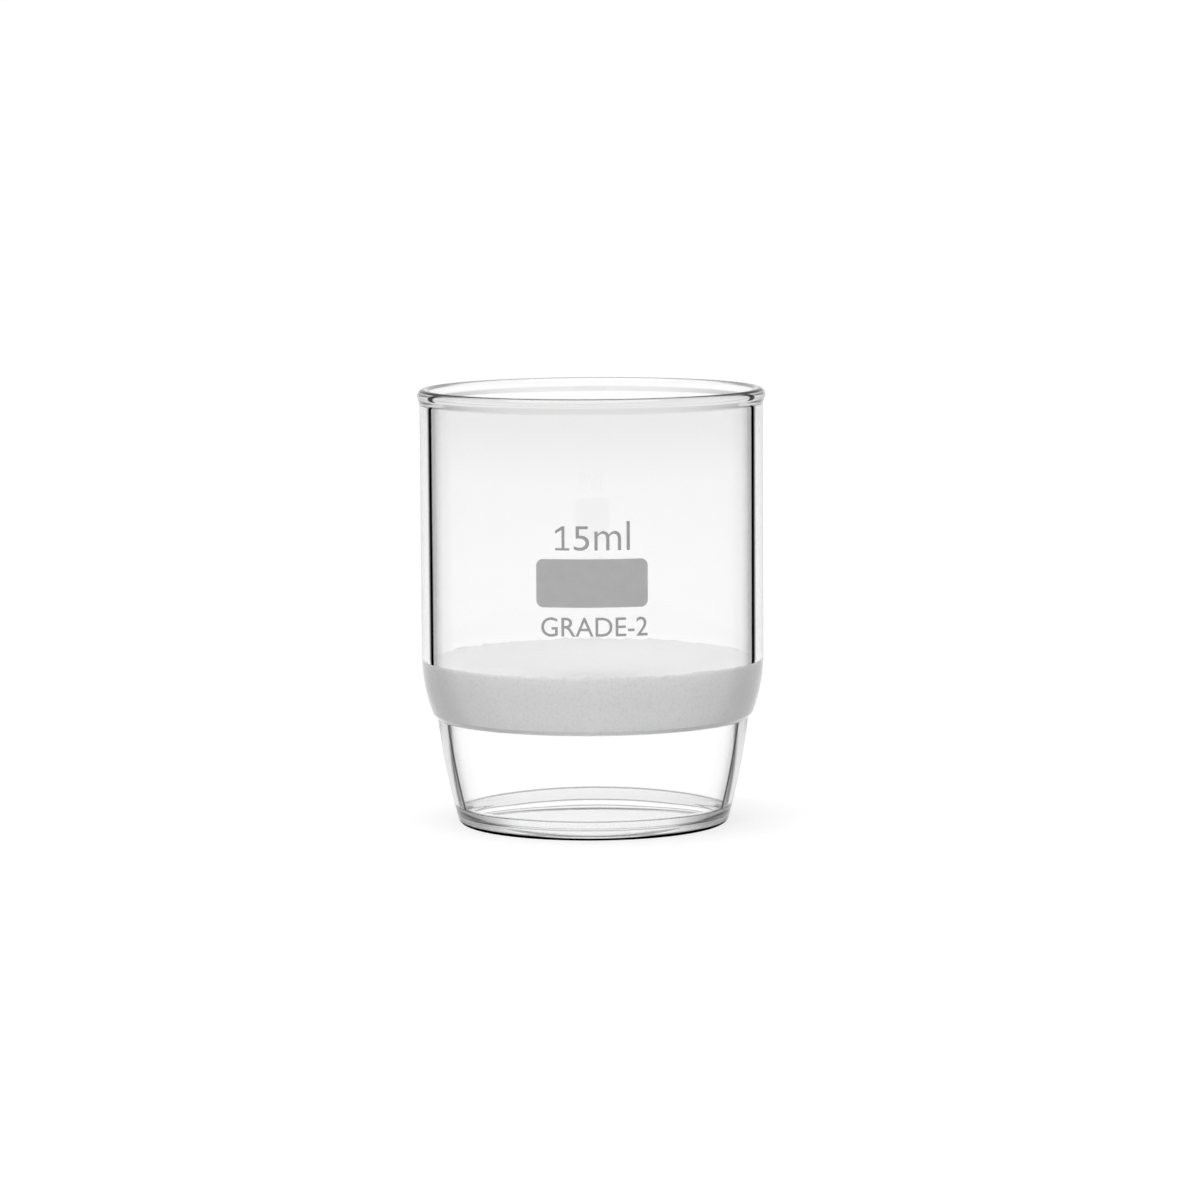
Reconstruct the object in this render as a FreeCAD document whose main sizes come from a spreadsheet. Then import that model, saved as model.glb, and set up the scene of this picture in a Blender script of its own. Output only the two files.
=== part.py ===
import FreeCAD, Part
import math
import os

import Sketcher

# A gooch crucible: a thin glass cup with a porous glass disc fused across it.
# Below the disc the wall runs on as an open skirt that tapers to a rounded foot.
# Lengths are in millimetres. The origin is the centre of the foot's ring, where
# the crucible stands, and +Z runs up along its axis. The print faces -Y.

DRIVING_SIZES = [
    ("body_radius", 15.5, "outside radius of the straight wall"),
    ("body_height", 39.4, "height from the foot to the top of the rim"),
    ("wall", 0.9, "thickness of the glass wall"),
    ("rim_proud", 0.22, "how far the rim's bead stands out of the wall"),
    ("rim_inner_proud", 0.12, "how far the rim's bead stands into the cup"),
    ("rim_round", 0.53, "radius of the rim's fire-polished top"),
    ("rim_widest", 0.62, "depth below the top where the rim's bead is widest"),
    ("rim_depth", 1.15, "depth below the top where the rim's bead leaves the wall"),
    ("shoulder_top", 15.4, "height where the straight wall starts to draw in"),
    ("disc_top", 14.9, "height of the porous disc's top face"),
    ("disc_thickness", 5.0, "thickness of the porous disc"),
    ("waist_lift", 0.15, "height of the waist's upper edge above the disc's bottom face"),
    ("waist_step", 0.42, "how far the waist steps in under the shoulder"),
    ("waist_depth", 0.4, "height of the waist's step"),
    ("waist_wall", 1.2, "glass between the disc's lower edge and the waist's upper edge"),
    ("skirt_arc", 70.0, "radius of the skirt's slight outward bow"),
    ("foot_set_in", 3.15, "how far the foot's outside lies in from the straight wall's"),
    ("foot_round", 0.65, "radius of the foot's rounded outside"),
    ("foot_ground", 0.06, "depth that is ground off the foot's rounded edge"),
    ("foot_flat", 0.5, "width of the ground flat that the foot stands on"),
    ("foot_proud", 0.4, "how far the foot's bead stands into the skirt"),
    ("foot_chamfer", 0.3, "height of the chamfer inside the foot's flat"),
    ("foot_land", 0.5, "height of the bead's straight inside face"),
    ("foot_bead", 1.6, "height of the bead's top inside the skirt"),
    ("skirt_set_in", 0.33, "how far the skirt's inside above the bead lies in from the foot's outside"),
    ("patch_width", 9.9, "width of the marking patch around the wall"),
    ("patch_height", 4.25, "height of the marking patch"),
    ("patch_corner", 0.6, "corner radius of the marking patch"),
    ("patch_middle", 23.3, "height of the marking patch's middle"),
    ("patch_thickness", 0.05, "thickness of the fired enamel"),
]

START, END, CENTRE = range(1, 4)
ORIGIN = (-1, START)
X_AXIS = ORIGIN[0]
Z_AXIS = X_AXIS - 1
FULL_TURN = 360.0
QUARTER_TURN = 90.0
MATCH = 1e-4
DISC_BOTTOM = "Sizes.disc_top - Sizes.disc_thickness"
WAIST_HEIGHT = DISC_BOTTOM + " + Sizes.waist_lift"
WAIST_RADIUS = "sqrt(Sizes.body_radius ^ 2 - (Sizes.shoulder_top - (%s)) ^ 2)" % WAIST_HEIGHT
SEAT_RADIUS = WAIST_RADIUS + " - Sizes.waist_wall"


def make_sheet(doc):
    """Fill the sheet of driving dimensions, one named cell a row."""
    sheet = doc.addObject("Spreadsheet::Sheet", "Sizes")
    for row, (name, value, meaning) in enumerate(DRIVING_SIZES, start=1):
        sheet.set("A%d" % row, name)
        sheet.set("B%d" % row, str(value))
        sheet.set("C%d" % row, meaning)
        sheet.setAlias("B%d" % row, name)
    doc.recompute()
    return sheet


def make_body(doc, label):
    """Start a sub-part with its own label and placement."""
    body = doc.addObject("PartDesign::Body", label)
    body.Label = label
    body.Placement = FreeCAD.Placement()
    return body


def section_sketch(body, name):
    """Put a sketch on the body's own upright plane: x is the radius, y the height."""
    plane = next(f for f in body.Origin.OriginFeatures if f.Role == "XZ_Plane")
    sketch = body.newObject("Sketcher::SketchObject", name)
    sketch.AttachmentSupport = (plane, [""])
    sketch.MapMode = "FlatFace"
    return sketch


def point(x, y):
    return FreeCAD.Vector(x, y, 0)


def add_line(sketch, start, end):
    return sketch.addGeometry(Part.LineSegment(point(*start), point(*end)), False)


def add_arc(sketch, centre, radius, start, end):
    """Add an arc that turns left from the start point to the end point."""
    first = math.atan2(start[1] - centre[1], start[0] - centre[0])
    last = math.atan2(end[1] - centre[1], end[0] - centre[0])
    if last < first:
        last += 2 * math.pi
    circle = Part.Circle(point(*centre), FreeCAD.Vector(0, 0, 1), radius)
    return sketch.addGeometry(Part.ArcOfCircle(circle, first, last), False)


def join(sketch, first, first_end, second, second_end):
    sketch.addConstraint(Sketcher.Constraint("Coincident", first, first_end, second, second_end))


def tangent(sketch, first, first_end, second, second_end):
    sketch.addConstraint(Sketcher.Constraint("Tangent", first, first_end, second, second_end))


def drive(sketch, name, constraint, expression):
    """Add a named dimension and bind it to the sheet."""
    index = sketch.addConstraint(constraint)
    sketch.renameConstraint(index, name)
    sketch.setExpression("Constraints." + name, expression)


def drive_radius(sketch, name, arc, value, expression):
    drive(sketch, name, Sketcher.Constraint("Radius", arc, value), expression)


def drive_x(sketch, name, geometry, vertex, value, expression):
    constraint = Sketcher.Constraint("DistanceX", *ORIGIN, geometry, vertex, value)
    drive(sketch, name, constraint, expression)


def drive_y(sketch, name, geometry, vertex, value, expression):
    constraint = Sketcher.Constraint("DistanceY", *ORIGIN, geometry, vertex, value)
    drive(sketch, name, constraint, expression)


def circles_meet(centre_a, radius_a, centre_b, radius_b, side):
    """Return the point where two circles cross, left (1) or right (-1) of the way a to b."""
    dx, dy = centre_b[0] - centre_a[0], centre_b[1] - centre_a[1]
    apart = math.hypot(dx, dy)
    along = (apart ** 2 + radius_a ** 2 - radius_b ** 2) / (2 * apart)
    across = side * math.sqrt(radius_a ** 2 - along ** 2)
    return (centre_a[0] + (along * dx - across * dy) / apart,
            centre_a[1] + (along * dy + across * dx) / apart)


def beyond(start, towards, distance):
    """Return the point at a distance from the start, on the way to another point."""
    share = distance / math.hypot(towards[0] - start[0], towards[1] - start[1])
    return (start[0] + (towards[0] - start[0]) * share, start[1] + (towards[1] - start[1]) * share)


def touching_point(centre, radius, start, side):
    """Return where a line from the start point touches a circle, on its left (1) or right (-1)."""
    dx, dy = start[0] - centre[0], start[1] - centre[1]
    turn = math.atan2(dy, dx) + side * math.acos(radius / math.hypot(dx, dy))
    return (centre[0] + radius * math.cos(turn), centre[1] + radius * math.sin(turn))


def waist_edge(size):
    """Return the waist's upper edge, where the ball-shaped shoulder ends."""
    height = size.disc_top - size.disc_thickness + size.waist_lift
    return (math.sqrt(size.body_radius ** 2 - (size.shoulder_top - height) ** 2), height)


def revolve(body, sketch, name):
    """Turn a section about the body's axis."""
    turned = body.newObject("PartDesign::Revolution", name)
    turned.Profile = (sketch, [""])
    turned.ReferenceAxis = (sketch, ["V_Axis"])
    turned.Angle = FULL_TURN
    return turned


def draw_skirt(sketch, size, skirt_top):
    """Draw the foot's flat and rounded outside, and the bowed outside of the skirt."""
    round_centre = (size.body_radius - size.foot_set_in - size.foot_round,
                    size.foot_round - size.foot_ground)
    skirt_centre = circles_meet(round_centre, size.skirt_arc - size.foot_round,
                                skirt_top, size.skirt_arc, 1)
    flat_outer = (round_centre[0] + math.sqrt(size.foot_round ** 2 - round_centre[1] ** 2), 0)
    skirt_low = beyond(skirt_centre, round_centre, size.skirt_arc)

    flat = add_line(sketch, (flat_outer[0] - size.foot_flat, 0), flat_outer)
    foot = add_arc(sketch, round_centre, size.foot_round, flat_outer, skirt_low)
    skirt = add_arc(sketch, skirt_centre, size.skirt_arc, skirt_low, skirt_top)
    join(sketch, flat, END, foot, START)
    tangent(sketch, foot, END, skirt, START)
    sketch.addConstraint(Sketcher.Constraint("PointOnObject", flat, START, X_AXIS))
    sketch.addConstraint(Sketcher.Constraint("Horizontal", flat))
    drive_radius(sketch, "foot_round", foot, size.foot_round, "Sizes.foot_round")
    drive_x(sketch, "foot_middle", foot, CENTRE, round_centre[0],
            "Sizes.body_radius - Sizes.foot_set_in - Sizes.foot_round")
    drive_y(sketch, "foot_middle_height", foot, CENTRE, round_centre[1],
            "Sizes.foot_round - Sizes.foot_ground")
    drive(sketch, "foot_flat",
          Sketcher.Constraint("DistanceX", flat, START, flat, END, size.foot_flat),
          "Sizes.foot_flat")
    drive_radius(sketch, "skirt_outside", skirt, size.skirt_arc, "Sizes.skirt_arc")
    return flat, skirt


def draw_shoulder(sketch, size, skirt_top, waist, skirt):
    """Draw the waist's step and the ball-shaped shoulder around the disc."""
    step = add_line(sketch, skirt_top, waist)
    shoulder = add_arc(sketch, (0, size.shoulder_top), size.body_radius, waist,
                       (size.body_radius, size.shoulder_top))
    join(sketch, skirt, END, step, START)
    join(sketch, step, END, shoulder, START)
    sketch.addConstraint(Sketcher.Constraint("PointOnObject", shoulder, CENTRE, Z_AXIS))
    drive(sketch, "waist_step",
          Sketcher.Constraint("DistanceX", step, START, step, END, size.waist_step),
          "Sizes.waist_step")
    drive(sketch, "waist_depth",
          Sketcher.Constraint("DistanceY", step, START, step, END, size.waist_depth),
          "Sizes.waist_depth")
    drive_y(sketch, "waist_height", shoulder, START, waist[1], WAIST_HEIGHT)
    return shoulder


def draw_wall_and_rim(sketch, size, shoulder):
    """Draw the straight outside wall and the bead of the rim, down to its inner edge."""
    low, widest = size.body_height - size.rim_depth, size.body_height - size.rim_widest
    outermost = size.body_radius + size.rim_proud
    innermost = size.body_radius - size.wall - size.rim_inner_proud
    middle = ((outermost + innermost) / 2, size.body_height - size.rim_round)
    round_out = touching_point(middle, size.rim_round, (outermost, widest), 1)
    round_in = touching_point(middle, size.rim_round, (innermost, widest), -1)

    wall = add_line(sketch, (size.body_radius, size.shoulder_top), (size.body_radius, low))
    under = add_line(sketch, (size.body_radius, low), (outermost, widest))
    flank = add_line(sketch, (outermost, widest), round_out)
    rim = add_arc(sketch, middle, size.rim_round, round_out, round_in)
    flank_in = add_line(sketch, round_in, (innermost, widest))
    tangent(sketch, shoulder, END, wall, START)
    join(sketch, wall, END, under, START)
    join(sketch, under, END, flank, START)
    tangent(sketch, flank, END, rim, START)
    tangent(sketch, rim, END, flank_in, START)
    sketch.addConstraint(Sketcher.Constraint("Vertical", wall))

    drive_x(sketch, "wall_outside", wall, START, size.body_radius, "Sizes.body_radius")
    drive_y(sketch, "shoulder_start", wall, START, size.shoulder_top, "Sizes.shoulder_top")
    drive_y(sketch, "bead_start", wall, END, low, "Sizes.body_height - Sizes.rim_depth")
    drive_x(sketch, "bead_outside", under, END, outermost, "Sizes.body_radius + Sizes.rim_proud")
    drive_y(sketch, "bead_widest", under, END, widest, "Sizes.body_height - Sizes.rim_widest")
    drive_radius(sketch, "rim_round", rim, size.rim_round, "Sizes.rim_round")
    drive_x(sketch, "rim_middle", rim, CENTRE, middle[0],
            "Sizes.body_radius + (Sizes.rim_proud - Sizes.wall - Sizes.rim_inner_proud) / 2")
    drive_y(sketch, "rim_middle_height", rim, CENTRE, middle[1],
            "Sizes.body_height - Sizes.rim_round")
    drive_x(sketch, "bead_inside", flank_in, END, innermost,
            "Sizes.body_radius - Sizes.wall - Sizes.rim_inner_proud")
    drive_y(sketch, "bead_widest_inside", flank_in, END, widest,
            "Sizes.body_height - Sizes.rim_widest")
    return flank_in


def draw_inside(sketch, size, flank_in, flat):
    """Draw the cup's bore, the disc's seat, the skirt's inside and the foot's bead."""
    bore = size.body_radius - size.wall
    foot_radius = size.body_radius - size.foot_set_in
    foot_bore = foot_radius - size.wall - size.foot_proud
    foot_bore_words = "Sizes.body_radius - Sizes.foot_set_in - Sizes.wall - Sizes.foot_proud"
    land_top = size.foot_chamfer + size.foot_land
    corners = [
        ("bore_top", bore, size.body_height - size.rim_depth,
         "Sizes.body_radius - Sizes.wall", "Sizes.body_height - Sizes.rim_depth"),
        ("seat_top", bore, size.disc_top,
         "Sizes.body_radius - Sizes.wall", "Sizes.disc_top"),
        ("seat_bottom", waist_edge(size)[0] - size.waist_wall,
         size.disc_top - size.disc_thickness, SEAT_RADIUS, DISC_BOTTOM),
        ("skirt_bottom", foot_radius - size.skirt_set_in, size.foot_bead,
         "Sizes.body_radius - Sizes.foot_set_in - Sizes.skirt_set_in", "Sizes.foot_bead"),
        ("land_top", foot_bore, land_top,
         foot_bore_words, "Sizes.foot_chamfer + Sizes.foot_land"),
        ("land_bottom", foot_bore, size.foot_chamfer, foot_bore_words, "Sizes.foot_chamfer"),
    ]
    before = flank_in
    for name, x, y, x_words, y_words in corners:
        start = sketch.getPoint(before, END)
        line = add_line(sketch, (start.x, start.y), (x, y))
        join(sketch, before, END, line, START)
        drive_x(sketch, name + "_radius", line, END, x, x_words)
        drive_y(sketch, name + "_height", line, END, y, y_words)
        before = line
    start, end = sketch.getPoint(before, END), sketch.getPoint(flat, START)
    chamfer = add_line(sketch, (start.x, start.y), (end.x, end.y))
    join(sketch, before, END, chamfer, START)
    join(sketch, chamfer, END, flat, START)


def make_glass_body(doc, size):
    """The drawn glass wall: foot and skirt, shoulder over the disc, cup and rim."""
    body = make_body(doc, "glass_body")
    sketch = section_sketch(body, "WallSection")
    waist = waist_edge(size)
    skirt_top = (waist[0] - size.waist_step, waist[1] - size.waist_depth)
    flat, skirt = draw_skirt(sketch, size, skirt_top)
    shoulder = draw_shoulder(sketch, size, skirt_top, waist, skirt)
    flank_in = draw_wall_and_rim(sketch, size, shoulder)
    draw_inside(sketch, size, flank_in, flat)
    revolve(body, sketch, "Wall")
    doc.recompute()
    return body


def make_sintered_disc(doc, size):
    """The porous disc, whose tapered edge is fused all round to its seat in the wall."""
    body = make_body(doc, "sintered_disc")
    sketch = section_sketch(body, "DiscSection")
    top_radius, low = size.body_radius - size.wall, size.disc_top - size.disc_thickness
    bottom_radius = waist_edge(size)[0] - size.waist_wall
    bottom = add_line(sketch, (0, low), (bottom_radius, low))
    edge = add_line(sketch, (bottom_radius, low), (top_radius, size.disc_top))
    top = add_line(sketch, (top_radius, size.disc_top), (0, size.disc_top))
    axis = add_line(sketch, (0, size.disc_top), (0, low))
    join(sketch, bottom, END, edge, START)
    join(sketch, edge, END, top, START)
    join(sketch, top, END, axis, START)
    join(sketch, axis, END, bottom, START)
    sketch.addConstraint(Sketcher.Constraint("Horizontal", bottom))
    sketch.addConstraint(Sketcher.Constraint("Horizontal", top))
    sketch.addConstraint(Sketcher.Constraint("Vertical", axis))
    sketch.addConstraint(Sketcher.Constraint("PointOnObject", axis, START, Z_AXIS))
    drive_x(sketch, "bottom_radius", edge, START, bottom_radius, SEAT_RADIUS)
    drive_x(sketch, "top_radius", edge, END, top_radius, "Sizes.body_radius - Sizes.wall")
    drive_y(sketch, "bottom_face", edge, START, low, DISC_BOTTOM)
    drive_y(sketch, "top_face", edge, END, size.disc_top, "Sizes.disc_top")
    revolve(body, sketch, "Disc")
    doc.recompute()
    return body


def make_marking_patch(doc, size):
    """The blank field for pencil marks: a thin slab of enamel bent round the wall."""
    body = make_body(doc, "marking_patch")
    sketch = section_sketch(body, "PatchSection")
    inside, outside = size.body_radius, size.body_radius + size.patch_thickness
    low = size.patch_middle - size.patch_height / 2
    high = low + size.patch_height
    corners = [(inside, low), (outside, low), (outside, high), (inside, high)]
    sides = [add_line(sketch, corners[i], corners[(i + 1) % 4]) for i in range(4)]
    for i in range(4):
        join(sketch, sides[i], END, sides[(i + 1) % 4], START)
        direction = "Horizontal" if i % 2 == 0 else "Vertical"
        sketch.addConstraint(Sketcher.Constraint(direction, sides[i]))
    drive_x(sketch, "patch_inside", sides[0], START, inside, "Sizes.body_radius")
    drive_x(sketch, "patch_outside", sides[0], END, outside,
            "Sizes.body_radius + Sizes.patch_thickness")
    drive_y(sketch, "patch_low", sides[0], START, low, "Sizes.patch_middle - Sizes.patch_height / 2")
    drive_y(sketch, "patch_high", sides[2], START, high,
            "Sizes.patch_middle + Sizes.patch_height / 2")
    slab = revolve(body, sketch, "Slab")
    slab.Midplane = True
    slab.setExpression("Angle", "Sizes.patch_width / Sizes.body_radius * 180 / pi")
    doc.recompute()
    across = ["Edge%d" % index for index, edge in enumerate(slab.Shape.Edges, start=1)
              if isinstance(edge.Curve, Part.Line)
              and abs(edge.Length - size.patch_thickness) < MATCH]
    rounded = body.newObject("PartDesign::Fillet", "PatchCorners")
    rounded.Base = (slab, across)
    rounded.setExpression("Radius", "Sizes.patch_corner")
    upright = FreeCAD.Vector(0, 0, 1)
    body.Placement = FreeCAD.Placement(FreeCAD.Vector(), FreeCAD.Rotation(upright, -QUARTER_TURN))
    doc.recompute()
    return body


def check_document(doc, bodies):
    """Stop before anything is written if an object failed or a shape is unsound."""
    for thing in doc.Objects:
        for bad in ("Invalid", "Error"):
            if bad in thing.State:
                raise RuntimeError("%s is %s" % (thing.Label, bad))
    for body in bodies:
        shape = body.Shape
        if shape.isNull() or not shape.isValid() or len(shape.Solids) != 1:
            raise RuntimeError("%s is not one valid solid" % body.Label)


def main():
    doc = FreeCAD.newDocument("GoochCrucible")
    size = make_sheet(doc)
    bodies = [make_glass_body(doc, size), make_sintered_disc(doc, size),
              make_marking_patch(doc, size)]
    doc.recompute()
    check_document(doc, bodies)
    os.makedirs("parts", exist_ok=True)
    for body in bodies:
        body.Shape.exportStep("parts/%s.step" % body.Label)
        box = body.Shape.optimalBoundingBox()
        print("%-14s volume %9.3f mm3  x %.2f..%.2f  y %.2f..%.2f  z %.2f..%.2f" % (
            body.Label, body.Shape.Volume, box.XMin, box.XMax, box.YMin, box.YMax,
            box.ZMin, box.ZMax))


main()
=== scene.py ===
import math

import bmesh
import bpy
from mathutils import Matrix, Vector, noise


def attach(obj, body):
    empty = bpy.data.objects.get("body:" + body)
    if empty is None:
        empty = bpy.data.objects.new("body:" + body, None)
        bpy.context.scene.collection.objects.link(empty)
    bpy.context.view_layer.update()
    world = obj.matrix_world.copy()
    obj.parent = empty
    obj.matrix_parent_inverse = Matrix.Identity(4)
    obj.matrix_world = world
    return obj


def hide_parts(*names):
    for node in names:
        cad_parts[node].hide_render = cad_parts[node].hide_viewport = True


# The crucible's looks: clear glass with painted dark lines and painted shade, a white granular
# disc painted darker towards its bottom, and grey fired print.
# Forms are worked out in millimetres and scaled to metres as they are made.

MM = 0.001

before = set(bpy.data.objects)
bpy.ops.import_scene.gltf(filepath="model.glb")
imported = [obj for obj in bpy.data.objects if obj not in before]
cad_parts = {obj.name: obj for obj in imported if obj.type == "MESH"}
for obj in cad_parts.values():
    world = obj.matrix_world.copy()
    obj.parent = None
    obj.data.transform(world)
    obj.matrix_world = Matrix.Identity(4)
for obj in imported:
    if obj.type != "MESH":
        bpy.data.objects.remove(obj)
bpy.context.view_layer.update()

# Sizes of the glass and the disc; places in its section are (radius, height)

BODY_RADIUS, BODY_HEIGHT, WALL = 15.5, 39.4, 0.9
BORE_RADIUS = BODY_RADIUS - WALL
RIM_PROUD, RIM_BEAD = 0.22, 0.62
RIM_MIDDLE = (BODY_RADIUS + RIM_PROUD - RIM_BEAD, BODY_HEIGHT - RIM_BEAD)
RIM_STARTS_OUTSIDE, RIM_STARTS_INSIDE = BODY_HEIGHT - 1.32, BODY_HEIGHT - 1.25
RIM_SIDE = (RIM_MIDDLE[1] - 0.18, RIM_MIDDLE[1] + 0.43)
SHOULDER_TOP = 15.4
DISC_TOP, DISC_BOTTOM, DISC_BOTTOM_RADIUS = 14.9, 9.9, 13.347
WAIST_HEIGHT, WAIST_STEP, WAIST_DEPTH = 10.05, 0.42, 0.4
SKIRT_ARC = 70.0
FOOT_ROUND, FOOT_MIDDLE = 0.65, (11.70, 0.59)
FOOT_BEAD, FLAT_INSIDE, FLAT_WIDTH = 1.6, (11.473, 0.0), 0.5

# Fineness of the meshes

AROUND, LONGEST_STEP, LONGEST_PRINT_EDGE = 288, 1.2, 0.45

# Heights between which the glass bends sharply and is painted with a thin dark line, a painted
# shade

INSIDE_CREASES, OUTSIDE_CREASES = [(1.68, 1.80), (0.86, 0.97)], [(0.36, 0.48)]

# The fired print

FIELD_WIDTH, FIELD_HEIGHT, FIELD_MIDDLE, FIELD_CORNER = 9.9, 4.25, 23.3, 0.6
FIELD_THICKNESS, PRINT_THICKNESS = 0.05, 0.045

# The camera: its focal length and frame in pixels, its place and its angles

FOCAL_PIXELS, FRAME_PIXELS, SENSOR = 4884.5, 1200, 36.0
CAMERA_PLACE = (0.691, -440, 68.57)
CAMERA_DOWN, CAMERA_ROLL = 6.281, -0.35

# Sockets of the Mix node for colours

MIX_SHARE, MIX_A, MIX_B, MIX_RESULT = 0, 6, 7, 2


# Outlines

def arc(centre, radius, first, last, steps):
    """Points on an arc, its ends included, with the angles in degrees."""
    turns = [math.radians(first + (last - first) * i / steps) for i in range(steps + 1)]
    return [(centre[0] + radius * math.cos(t), centre[1] + radius * math.sin(t)) for t in turns]


def direction(start, end):
    """The angle in degrees of the way from one point to another."""
    return math.degrees(math.atan2(end[1] - start[1], end[0] - start[0]))


def circles_meet(a, radius_a, b, radius_b):
    """The point where two circles cross, on the left of the way from a to b."""
    dx, dy = b[0] - a[0], b[1] - a[1]
    apart = math.hypot(dx, dy)
    along = (apart ** 2 + radius_a ** 2 - radius_b ** 2) / (2 * apart)
    across = math.sqrt(radius_a ** 2 - along ** 2)
    return (a[0] + (along * dx - across * dy) / apart, a[1] + (along * dy + across * dx) / apart)


def rounded(corners, steps=8):
    """A run of straight lines whose corners (x, y, radius) are rounded."""
    points = [corners[0][:2]]
    for before, corner, after in zip(corners, corners[1:], corners[2:]):
        here = Vector(corner[:2])
        back = (Vector(before[:2]) - here).normalized()
        ahead = (Vector(after[:2]) - here).normalized()
        half = back.angle(ahead) / 2
        centre = here + (back + ahead).normalized() * corner[2] / math.sin(half)
        first = here + back * corner[2] / math.tan(half)
        last = here + ahead * corner[2] / math.tan(half)
        start, end = direction(centre, first), direction(centre, last)
        if end - start > 180:
            end -= 360
        if start - end > 180:
            end += 360
        points += arc(centre, corner[2], start, end, steps)
    return points + [corners[-1][:2]]


def spaced(points, longest):
    """The same line with no step longer than the given length."""
    out = [points[0]]
    for start, end in zip(points, points[1:]):
        count = max(1, math.ceil(math.dist(start, end) / longest))
        out += [(start[0] + (end[0] - start[0]) * i / count,
                 start[1] + (end[1] - start[1]) * i / count) for i in range(1, count + 1)]
    return out


def wall_outline():
    """The section of the glass wall: up the outside to the rim's bead, and on down the inside.

    A corner to be rounded is (radius, height, size of its round)."""
    ball = (0.0, SHOULDER_TOP)
    waist = (math.sqrt(BODY_RADIUS ** 2 - (SHOULDER_TOP - WAIST_HEIGHT) ** 2), WAIST_HEIGHT)
    skirt_top = (waist[0] - WAIST_STEP, waist[1] - WAIST_DEPTH)
    skirt = circles_meet(FOOT_MIDDLE, SKIRT_ARC - FOOT_ROUND, skirt_top, SKIRT_ARC)
    flat_outside = (FLAT_INSIDE[0] + FLAT_WIDTH, FLAT_INSIDE[1])
    bead_leaves, bead_returns = -20, 195

    outside = arc(FOOT_MIDDLE, FOOT_ROUND, direction(FOOT_MIDDLE, flat_outside),
                  direction(skirt, FOOT_MIDDLE), 14)
    outside += arc(skirt, SKIRT_ARC, direction(skirt, FOOT_MIDDLE),
                   direction(skirt, skirt_top) - 0.3, 20)[1:]
    shoulder = arc(ball, BODY_RADIUS, direction(ball, waist) + 2.0, 0, 24)
    outside += rounded([outside[-1] + (0,), skirt_top + (0.3,), waist + (0.3,),
                        shoulder[0] + (0,)])[1:]
    outside += shoulder[1:]
    bead = arc(RIM_MIDDLE, RIM_BEAD, bead_leaves, bead_returns, 40)
    outside += rounded([(BODY_RADIUS, SHOULDER_TOP, 0), (BODY_RADIUS, RIM_STARTS_OUTSIDE, 0.6),
                        bead[0] + (0,)])[1:]
    inside = bead[1:] + rounded([
        bead[-1] + (0,),
        (BORE_RADIUS, RIM_STARTS_INSIDE, 0.6),
        (BORE_RADIUS, DISC_TOP, 1.2),
        (DISC_BOTTOM_RADIUS, DISC_BOTTOM, 1.5),
        (12.05, 1.75, 0.5),
        (11.06, 0.95, 0.45),
        (11.06, 0.25, 0.2),
        FLAT_INSIDE + (0,),
    ])[1:]
    return spaced(outside, LONGEST_STEP), spaced([outside[-1]] + inside, LONGEST_STEP)[1:]


# Meshes

def new_object(name, bm, smooth=True):
    """An object made of the mesh, its faces turned outwards."""
    mesh = bpy.data.meshes.new(name)
    bmesh.ops.recalc_face_normals(bm, faces=bm.faces)
    bm.to_mesh(mesh)
    bm.free()
    for face in mesh.polygons:
        face.use_smooth = smooth
    obj = bpy.data.objects.new(name, mesh)
    bpy.context.collection.objects.link(obj)
    return obj


def on_circle(radius, turn, height):
    """A place at the given angle round the upright axis."""
    return Vector((radius * math.cos(turn), radius * math.sin(turn), height)) * MM


def turned(name, outline, closed):
    """Turn an outline about the upright axis; an open one starts on the axis."""
    bm = bmesh.new()
    rows = []
    for x, y in outline:
        if x < 1e-6:
            rows.append([bm.verts.new((0, 0, y * MM))])
        else:
            rows.append([bm.verts.new(on_circle(x, 2 * math.pi * i / AROUND, y))
                         for i in range(AROUND)])
    pairs = list(zip(rows, rows[1:])) + ([(rows[-1], rows[0])] if closed else [])
    for low, high in pairs:
        for i in range(AROUND):
            j = (i + 1) % AROUND
            ring = [low[i % len(low)], low[j % len(low)], high[j % len(high)], high[i % len(high)]]
            corners = list(dict.fromkeys(ring))
            if len(corners) > 2:
                bm.faces.new(corners)
    return new_object(name, bm)


def grains(point, size):
    """A rough, lumpy value around zero for packed grains of about the given size."""
    distances = noise.voronoi(point / size)[0]
    return 0.45 - distances[0]


def make_disc():
    """The porous disc: granular faces, and an uneven edge where it is fused to the wall."""
    sunk, creep_width, grain_size = 0.07, 0.5, 0.55
    top, low = BORE_RADIUS + sunk, DISC_BOTTOM_RADIUS + sunk
    rings, steps = 62, 20
    outline = [(low * i / rings, DISC_BOTTOM) for i in range(rings + 1)]
    outline += [(low + (top - low) * i / steps,
                 DISC_BOTTOM + (DISC_TOP - DISC_BOTTOM) * i / steps)
                for i in range(1, steps + 1)]
    outline += [(top * i / rings, DISC_TOP) for i in range(rings - 1, -1, -1)]
    disc = turned("frit_disc", outline, closed=False)
    for vertex in disc.data.vertices:
        place = vertex.co / MM
        out = math.hypot(place.x, place.y)
        if place.z > DISC_TOP - 0.01:
            creep = max(0.0, (out - (top - creep_width)) / creep_width)
            rise = 0.05 * grains(place, grain_size) + 0.035 * noise.noise(place * 0.45)
            ragged = 0.2 * noise.noise(Vector((place.x, place.y, 3.0)) * 1.9)
            place.z += rise + creep * (ragged + 0.05)
        elif place.z < DISC_BOTTOM + 0.01:
            creep = max(0.0, (out - (low - creep_width)) / creep_width)
            ragged = 0.12 * noise.noise(Vector((place.x, place.y, 9.0)) * 1.6)
            place.z += 0.05 * grains(place, grain_size) + creep * ragged
        vertex.co = place * MM
    return disc


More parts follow.
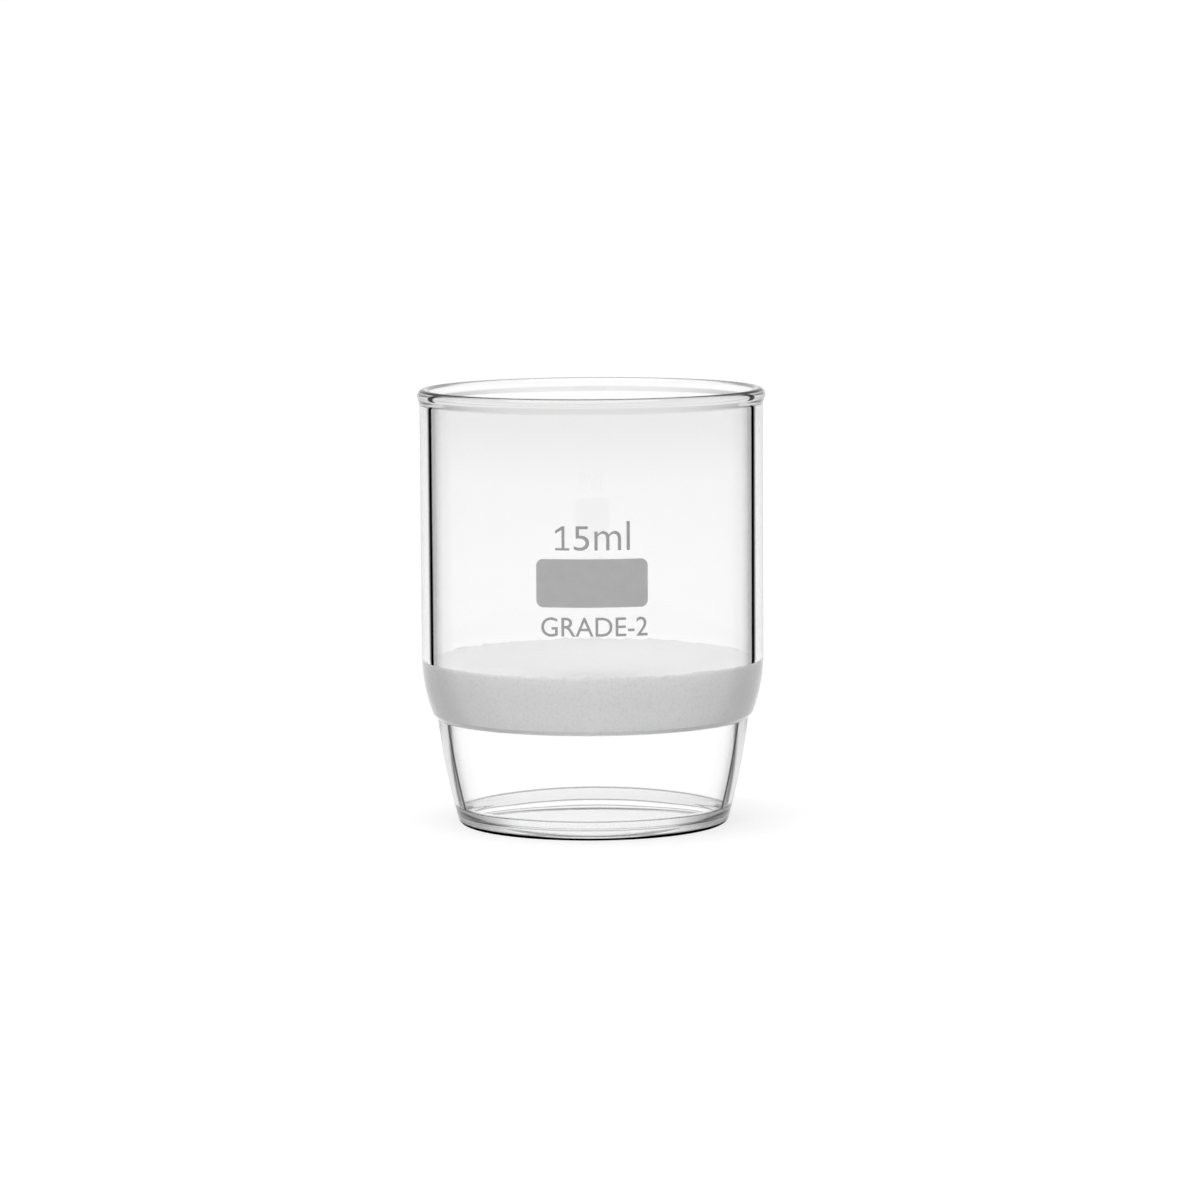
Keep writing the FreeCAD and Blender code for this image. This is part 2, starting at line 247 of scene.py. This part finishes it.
def bend(obj):
    """Bend a flat piece, drawn in x and z with its thickness in y, round the wall's front."""
    for vertex in obj.data.vertices:
        x, y, z = vertex.co / MM
        turn, out = x / BODY_RADIUS, BODY_RADIUS + y
        vertex.co = Vector((out * math.sin(turn), -out * math.cos(turn), z)) * MM


def thickened(name, bm, thickness):
    """Give a flat sheet in x and z the thickness of fired print, towards +y."""
    for item in bmesh.ops.extrude_face_region(bm, geom=list(bm.faces))["geom"]:
        if isinstance(item, bmesh.types.BMVert):
            item.co.y += thickness * MM
    return new_object(name, bm, smooth=False)


def make_field():
    """The blank field for pencil marks, a rounded oblong of enamel."""
    outline = []
    for x, z, start in ((1, 1, 0), (-1, 1, 90), (-1, -1, 180), (1, -1, 270)):
        centre = (x * (FIELD_WIDTH / 2 - FIELD_CORNER),
                  FIELD_MIDDLE + z * (FIELD_HEIGHT / 2 - FIELD_CORNER))
        outline += arc(centre, FIELD_CORNER, start, start + 90, 8)
    bm = bmesh.new()
    bm.faces.new([bm.verts.new((x * MM, 0, z * MM)) for x, z in outline])
    cuts = 40
    for i in range(1, cuts):
        x = (i / cuts - 0.5) * FIELD_WIDTH * MM
        bmesh.ops.bisect_plane(bm, geom=bm.verts[:] + bm.edges[:] + bm.faces[:],
                               plane_co=(x, 0, 0), plane_no=(1, 0, 0))
    field = thickened("marking_field", bm, FIELD_THICKNESS)
    bend(field)
    return field


def lettering(words, left, right, low, high, weight=0.0):
    """Flat letters in Blender's own font, drawn out to fill the given box."""
    curve = bpy.data.curves.new(words, "FONT")
    curve.body = words
    curve.offset = weight
    curve.resolution_u = 6
    drawn = bpy.data.objects.new(words, curve)
    bpy.context.collection.objects.link(drawn)
    bpy.context.view_layer.update()
    flat = bpy.data.meshes.new_from_object(drawn)
    bpy.data.objects.remove(drawn)
    xs, ys = [v.co.x for v in flat.vertices], [v.co.y for v in flat.vertices]
    for v in flat.vertices:
        x = left + (v.co.x - min(xs)) / (max(xs) - min(xs)) * (right - left)
        z = low + (v.co.y - min(ys)) / (max(ys) - min(ys)) * (high - low)
        v.co = Vector((x, 0, z)) * MM
    return flat


def figure_one(left, right, low, high, stroke):
    """A flat figure one with a flag and a foot, which the font's own lacks."""
    stem, foot, tall = left + 0.46 * (right - left), low + 0.8 * stroke, high - low
    corners = [(left, low), (right, low), (right, foot), (stem + stroke, foot),
               (stem + stroke, high), (stem, high), (left, high - 0.19 * tall),
               (left, high - 0.31 * tall), (stem, high - 0.15 * tall), (stem, foot),
               (left, foot)]
    flat = bpy.data.meshes.new("figure_one")
    flat.from_pydata([Vector((x, 0, z)) * MM for x, z in corners], [], [range(len(corners))])
    return flat


def make_mark(name, pieces):
    """Fired lettering, made of flat pieces and bent round the wall."""
    bm = bmesh.new()
    for flat in pieces:
        bm.from_mesh(flat)
        bpy.data.meshes.remove(flat)
    bmesh.ops.remove_doubles(bm, verts=bm.verts, dist=0.001 * MM)
    bmesh.ops.triangulate(bm, faces=bm.faces)
    for _ in range(3):
        long_edges = [e for e in bm.edges if e.calc_length() > LONGEST_PRINT_EDGE * MM]
        bmesh.ops.subdivide_edges(bm, edges=long_edges, cuts=1)
        bmesh.ops.triangulate(bm, faces=bm.faces)
    mark = thickened(name, bm, PRINT_THICKNESS)
    bend(mark)
    return mark


# Materials

def new_material(name):
    """A material with its nodes, its links and its shader."""
    material = bpy.data.materials.new(name)
    material.use_nodes = True
    nodes = material.node_tree.nodes
    return material, nodes, material.node_tree.links, nodes["Principled BSDF"]


def grey(tone):
    return (tone, tone, tone, 1)


def set_inputs(node, **values):
    """Set a node's sockets, named here with _ for a space."""
    for name, value in values.items():
        node.inputs[name.replace("_", " ")].default_value = value


def toned(nodes, links, value, stops):
    """The grey that a ramp of (place, tone) stops gives for the value."""
    node = nodes.new("ShaderNodeValToRGB")
    while len(node.color_ramp.elements) < len(stops):
        node.color_ramp.elements.new(0.5)
    for element, (place, tone) in zip(node.color_ramp.elements, stops):
        element.position = place
        element.color = grey(tone)
    links.new(value, node.inputs[0])
    return node.outputs["Color"]


def height_of(nodes, links, low, high):
    """The height on the object, as 0 at low and 1 at high, both in millimetres."""
    place = nodes.new("ShaderNodeTexCoord")
    split = nodes.new("ShaderNodeSeparateXYZ")
    share = nodes.new("ShaderNodeMapRange")
    set_inputs(share, From_Min=low * MM, From_Max=high * MM)
    links.new(place.outputs["Object"], split.inputs[0])
    links.new(split.outputs["Z"], share.inputs["Value"])
    return share.outputs["Result"]


def by_side(nodes, links, outside, within=None):
    """One tone for light that meets the glass from outside, another (or white) from within."""
    side = nodes.new("ShaderNodeNewGeometry")
    pick = nodes.new("ShaderNodeMix")
    pick.data_type = "RGBA"
    pick.inputs[MIX_B].default_value = grey(1.0)
    links.new(side.outputs["Backfacing"], pick.inputs[MIX_SHARE])
    links.new(outside, pick.inputs[MIX_A])
    if within:
        links.new(within, pick.inputs[MIX_B])
    return pick.outputs[MIX_RESULT]


def combined(nodes, links, blend, first, second):
    """Two tones multiplied, or the lighter of the two."""
    node = nodes.new("ShaderNodeMix")
    node.data_type = "RGBA"
    node.blend_type = blend
    node.inputs[MIX_SHARE].default_value = 1.0
    links.new(first, node.inputs[MIX_A])
    links.new(second, node.inputs[MIX_B])
    return node.outputs[MIX_RESULT]


def steepness(nodes, links, stops):
    """A ramp over how far a face is turned up or down, from 0 for an upright one to 1."""
    face = nodes.new("ShaderNodeNewGeometry")
    split = nodes.new("ShaderNodeSeparateXYZ")
    size = nodes.new("ShaderNodeMath")
    size.operation = "ABSOLUTE"
    links.new(face.outputs["Normal"], split.inputs[0])
    links.new(split.outputs["Z"], size.inputs[0])
    return toned(nodes, links, size.outputs["Value"], stops)


def plain_glass(name, tone):
    """Polished borosilicate glass that lets through the given share of the light."""
    material, _, _, shader = new_material(name)
    set_inputs(shader, Base_Color=grey(tone), Roughness=0.0, IOR=1.47, Transmission_Weight=1.0)
    return material


def glass_with_painted_shade(name, glancing, within=None, painted_shade_by_height=None, painted_line=None, upright=None):
    """Clear glass with painted dark lines and painted shade where a wall is seen edge on.

    The colour is painted darker by the slant at which the glass is met from outside (glancing)
    and from within, and from outside darker towards the rim by a painted shade over the
    height of the cup. At the slants where the painted line ramp is 0 the face is made opaque
    and dark, a painted dark line, unless it stands as upright as the last ramp says."""
    material = plain_glass(name, 1.0)
    nodes, links = material.node_tree.nodes, material.node_tree.links
    shader = nodes["Principled BSDF"]
    weight = nodes.new("ShaderNodeLayerWeight")
    set_inputs(weight, Blend=0.5)
    slant = weight.outputs["Facing"]
    # Painted shade: the colour darkens by the slant at which the glass is seen, which draws its
    # edges dark.
    painted_shade_outside = toned(nodes, links, slant, glancing)
    # Painted shade: from outside the glass is painted darker towards the rim, by height.
    if painted_shade_by_height:
        height = height_of(nodes, links, DISC_TOP, BODY_HEIGHT)
        painted_shade_outside = combined(nodes, links, "MULTIPLY", painted_shade_outside,
                            toned(nodes, links, height, painted_shade_by_height))
    # Painted shade: from within, the colour also darkens by the slant.
    painted_shade_within = toned(nodes, links, slant, within) if within else None
    shade = by_side(nodes, links, painted_shade_outside, painted_shade_within)
    # Painted dark lines: at these slants the face is made opaque and dark.
    if painted_line:
        clear = by_side(nodes, links, toned(nodes, links, slant, painted_line))
        if upright:
            clear = combined(nodes, links, "LIGHTEN", clear, steepness(nodes, links, upright))
        shade = combined(nodes, links, "MULTIPLY", shade, clear)
        half = nodes.new("ShaderNodeMath")
        half.operation = "MULTIPLY"
        half.inputs[1].default_value = 0.5
        links.new(clear, half.inputs[0])
        links.new(clear, shader.inputs["Transmission Weight"])
        links.new(half.outputs["Value"], shader.inputs["Specular IOR Level"])
    links.new(shade, shader.inputs["Base Color"])
    return material


def add_bump(nodes, links, shader, height, strength, depth):
    """Roughen the surface by a height value, to the given depth in millimetres."""
    bump = nodes.new("ShaderNodeBump")
    set_inputs(bump, Strength=strength, Distance=depth * MM)
    links.new(height, bump.inputs["Height"])
    links.new(bump.outputs["Normal"], shader.inputs["Normal"])


def sintered_glass():
    """White fused glass powder: matt and granular, with painted shade that makes it greyer towards
    its bottom.
    """
    material, nodes, links, shader = new_material("sintered_glass")
    set_inputs(shader, Roughness=0.85, Subsurface_Weight=0.5,
               Subsurface_Radius=(1.0, 1.0, 1.0), Subsurface_Scale=0.4 * MM)
    place = nodes.new("ShaderNodeTexCoord")
    cells = nodes.new("ShaderNodeTexVoronoi")
    set_inputs(cells, Scale=4600.0)
    fine = nodes.new("ShaderNodeTexNoise")
    set_inputs(fine, Scale=5200.0, Detail=6.0)
    for texture in (cells, fine):
        links.new(place.outputs["Object"], texture.inputs["Vector"])
    grain = toned(nodes, links, cells.outputs["Distance"],
                  [(0.0, 0.85), (0.55, 0.83), (1.0, 0.76)])
    # Painted shade: the disc is painted darker towards its bottom and lightest on its top.
    depth = toned(nodes, links, height_of(nodes, links, DISC_BOTTOM, DISC_TOP),
                  [(0.0, 0.90), (0.55, 0.91), (0.80, 0.95), (0.97, 1.0)])
    links.new(combined(nodes, links, "MULTIPLY", grain, depth), shader.inputs["Base Color"])
    lumps = nodes.new("ShaderNodeMath")
    lumps.operation = "SUBTRACT"
    links.new(fine.outputs["Fac"], lumps.inputs[0])
    links.new(cells.outputs["Distance"], lumps.inputs[1])
    add_bump(nodes, links, shader, lumps.outputs["Value"], 0.4, 0.06)
    return material


def grey_enamel(name, low, high):
    """Matt grey fired print, a little uneven from the screen it was laid through."""
    material, nodes, links, shader = new_material(name)
    set_inputs(shader, Roughness=0.6)
    place = nodes.new("ShaderNodeTexCoord")
    cloud = nodes.new("ShaderNodeTexNoise")
    set_inputs(cloud, Scale=900.0, Detail=5.0)
    links.new(place.outputs["Object"], cloud.inputs["Vector"])
    tone = toned(nodes, links, cloud.outputs["Fac"], [(0.3, low), (0.7, high)])
    links.new(tone, shader.inputs["Base Color"])
    add_bump(nodes, links, shader, cloud.outputs["Fac"], 0.25, 0.02)
    return material


# The parts of the glass, by the painted shade and painted dark lines each is given; a ramp is a
# list of (place, tone) stops

# Painted shade by height above the disc: wall and rim painted darker towards the rim, the bore a
# little darker.
WALL_PAINTED_SHADE = [(0.0, 1.0), (0.04, 0.91), (0.38, 0.905), (0.69, 0.85), (0.88, 0.71), (1.0, 0.67)]
BORE_PAINTED_SHADE = [(0.0, 1.0), (0.04, 0.94), (1.0, 0.94)]
BORE_LINE = [(0.0, 1.0), (0.223, 1.0), (0.227, 0.0), (0.2375, 0.0), (0.2415, 1.0)]
BORE_SLANT = [(0.0, 1.0), (0.35, 1.0), (0.6, 0.95), (1.0, 0.85)]
RIM_GLANCING = [(0.0, 1.0), (0.35, 1.0), (0.6, 0.75), (0.8, 0.4), (1.0, 0.2)]
RIM_WITHIN = [(0.0, 1.0), (0.35, 1.0), (0.6, 0.5), (0.85, 0.1)]
RIM_UPRIGHT = [(0.0, 1.0), (0.58, 1.0), (0.74, 0.0)]
GLASS_LOOKS = {
    "wall": dict(
        glancing=[(0.0, 1.0), (0.42, 0.98), (0.51, 0.82), (0.55, 0.6), (0.60, 0.2),
                  (0.66, 0.2), (0.70, 0.85), (0.93, 0.75), (1.0, 0.1)],
        within=BORE_LINE, painted_shade_by_height=WALL_PAINTED_SHADE,
        painted_line=[(0.0, 1.0), (0.632, 1.0), (0.640, 0.0), (0.672, 0.0), (0.688, 0.25),
                 (0.696, 1.0), (0.86, 1.0), (0.92, 0.5)]),
    "skirt": dict(
        glancing=[(0.0, 1.0), (0.42, 0.98), (0.51, 0.9), (0.55, 0.8), (0.60, 0.5),
                  (0.66, 0.3), (0.75, 0.45), (0.93, 0.5), (1.0, 0.1)],
        within=BORE_LINE,
        painted_line=[(0.0, 1.0), (0.640, 1.0), (0.650, 0.1), (0.672, 0.1), (0.682, 1.0),
                 (0.86, 1.0), (0.92, 0.4)]),
    "shoulder": dict(
        glancing=[(0.0, 1.0), (0.2, 0.97), (0.4, 0.76), (0.5, 0.54), (0.6, 0.42),
                  (0.8, 0.3), (1.0, 0.2)],
        painted_line=[(0.0, 1.0), (0.90, 1.0), (0.95, 0.4)]),
    "rim": dict(
        glancing=RIM_GLANCING, within=RIM_WITHIN, painted_shade_by_height=WALL_PAINTED_SHADE,
        painted_line=[(0.0, 1.0), (0.5, 1.0), (0.68, 0.1), (1.0, 0.06)], upright=RIM_UPRIGHT),
    "rim_side": dict(
        glancing=RIM_GLANCING, within=RIM_WITHIN, painted_shade_by_height=WALL_PAINTED_SHADE,
        painted_line=[(0.0, 1.0), (0.57, 1.0), (0.59, 0.05), (0.64, 0.05), (0.665, 1.0)]),
    "rim_inside": dict(
        glancing=[(0.0, 1.0), (0.5, 1.0), (0.8, 0.85), (1.0, 0.7)],
        within=[(0.0, 1.0), (0.35, 1.0), (0.6, 0.7), (0.85, 0.4)], painted_shade_by_height=BORE_PAINTED_SHADE,
        painted_line=[(0.0, 1.0), (0.5, 1.0), (0.68, 0.4), (1.0, 0.3)], upright=RIM_UPRIGHT),
    "foot": dict(
        glancing=[(0.0, 1.0), (0.22, 1.0), (0.36, 0.4), (0.5, 0.15), (0.75, 0.1), (1.0, 0.1)],
        within=[(0.0, 1.0), (0.3, 1.0), (0.5, 0.4), (0.8, 0.05)],
        painted_line=[(0.0, 1.0), (0.18, 1.0), (0.30, 0.0)],
        upright=[(0.0, 1.0), (0.32, 1.0), (0.46, 0.0)]),
    "bore": dict(glancing=BORE_SLANT, within=BORE_SLANT, painted_shade_by_height=BORE_PAINTED_SHADE),
}
# Painted dark lines at the creases, and painted shade on the inside of the foot.
PAINTED_GLASS_TONES = {"crease": 0.22, "foot_inside": 0.95}


def part_of_glass(radius, height, is_inside):
    """The part of the glass that a face belongs to, by where its middle lies."""
    if height > RIM_STARTS_INSIDE:
        if radius < RIM_MIDDLE[0]:
            return "rim_inside"
        return "rim_side" if RIM_SIDE[0] < height < RIM_SIDE[1] else "rim"
    creases = INSIDE_CREASES if is_inside else OUTSIDE_CREASES
    if any(low < height < high for low, high in creases):
        return "crease"
    if height < FOOT_BEAD:
        return "foot_inside" if is_inside else "foot"
    if is_inside:
        return "bore"
    if height < WAIST_HEIGHT - WAIST_DEPTH:
        return "skirt"
    return "shoulder" if height < DISC_TOP else "wall"


def make_glass():
    """The glass wall, each part of it with its own clear glass and its own painted shade."""
    outside, inside = wall_outline()
    glass = turned("glass_wall", outside + inside, closed=True)
    kinds = {part: glass_with_painted_shade("glass_with_painted_shade_" + part, **look)
             for part, look in GLASS_LOOKS.items()}
    kinds.update({part: plain_glass("glass_with_painted_shade_" + part, tone)
                  for part, tone in PAINTED_GLASS_TONES.items()})
    for kind in kinds.values():
        glass.data.materials.append(kind)
    numbers = {part: number for number, part in enumerate(kinds)}
    first_inside = (len(outside) - 1) * AROUND
    for face in glass.data.polygons:
        x, y, z = face.center / MM
        part = part_of_glass(math.hypot(x, y), z, face.index >= first_inside)
        face.material_index = numbers[part]
    return glass


# The object

glass = make_glass()
glass.visible_shadow = False
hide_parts("glass_body")

disc = make_disc()
disc.data.materials.append(sintered_glass())
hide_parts("sintered_disc")

field = make_field()
field.data.materials.append(grey_enamel("grey_enamel_field", 0.44, 0.47))
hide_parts("marking_patch")
capacity = make_mark("capacity_mark", [
    figure_one(-3.22, -1.97, 26.2, 28.32, 0.25),
    lettering("5", -1.58, -0.22, 26.18, 28.32, -0.004),
    lettering("ml", 0.235, 3.35, 26.2, 28.74, -0.006)])
grade = make_mark("grade_mark", [lettering("GRADE-2", -4.52, 4.92, 18.6, 20.3, 0.001)])
print_enamel = grey_enamel("grey_enamel_print", 0.34, 0.37)
for mark in (capacity, grade):
    mark.data.materials.append(print_enamel)
for piece in (field, capacity, grade):
    piece.visible_glossy = False
for piece in (glass, disc, field, capacity, grade):
    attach(piece, "root")

# The floor, the light and the camera

floor_level, floor_radius = -0.02, 2900
floor = turned("floor", [(0, floor_level), (floor_radius, floor_level)], closed=False)
paper, _, _, paper_shader = new_material("floor_paper")
set_inputs(paper_shader, Base_Color=grey(0.42), Roughness=1.0, Specular_IOR_Level=0.0,
           Emission_Color=grey(1.0), Emission_Strength=0.67)
floor.data.materials.append(paper)

world = bpy.data.worlds.new("studio")
world.use_nodes = True
bpy.context.scene.world = world
sky, sky_links = world.node_tree.nodes, world.node_tree.links
toward = sky.new("ShaderNodeTexCoord")
split = sky.new("ShaderNodeSeparateXYZ")
sky_links.new(toward.outputs["Generated"], split.inputs[0])
gradient = toned(sky, sky_links, split.outputs["Z"],
                 [(0.0, 0.94), (0.06, 0.96), (0.22, 0.80), (0.40, 0.30), (0.6, 0.12), (1.0, 0.1)])
sky_links.new(gradient, sky["Background"].inputs["Color"])
set_inputs(sky["Background"], Strength=1.1)

lamp = bpy.data.lights.new("overhead", "SUN")
lamp.energy = 2.0
lamp.angle = math.radians(60)
overhead = bpy.data.objects.new("overhead", lamp)
overhead.rotation_euler = (math.radians(6), math.radians(-4), 0)
bpy.context.collection.objects.link(overhead)

lens = bpy.data.cameras.new("camera")
lens.sensor_width = SENSOR
lens.lens = FOCAL_PIXELS / FRAME_PIXELS * SENSOR
lens.clip_start, lens.clip_end = 0.01, 10.0
camera = bpy.data.objects.new("camera", lens)
camera.matrix_world = (Matrix.Translation(Vector(CAMERA_PLACE) * MM)
                       @ Matrix.Rotation(math.radians(90 - CAMERA_DOWN), 4, "X")
                       @ Matrix.Rotation(math.radians(CAMERA_ROLL), 4, "Z"))
bpy.context.collection.objects.link(camera)
bpy.context.scene.camera = camera
bpy.context.scene.view_settings.view_transform = "Standard"

bpy.context.view_layer.update()
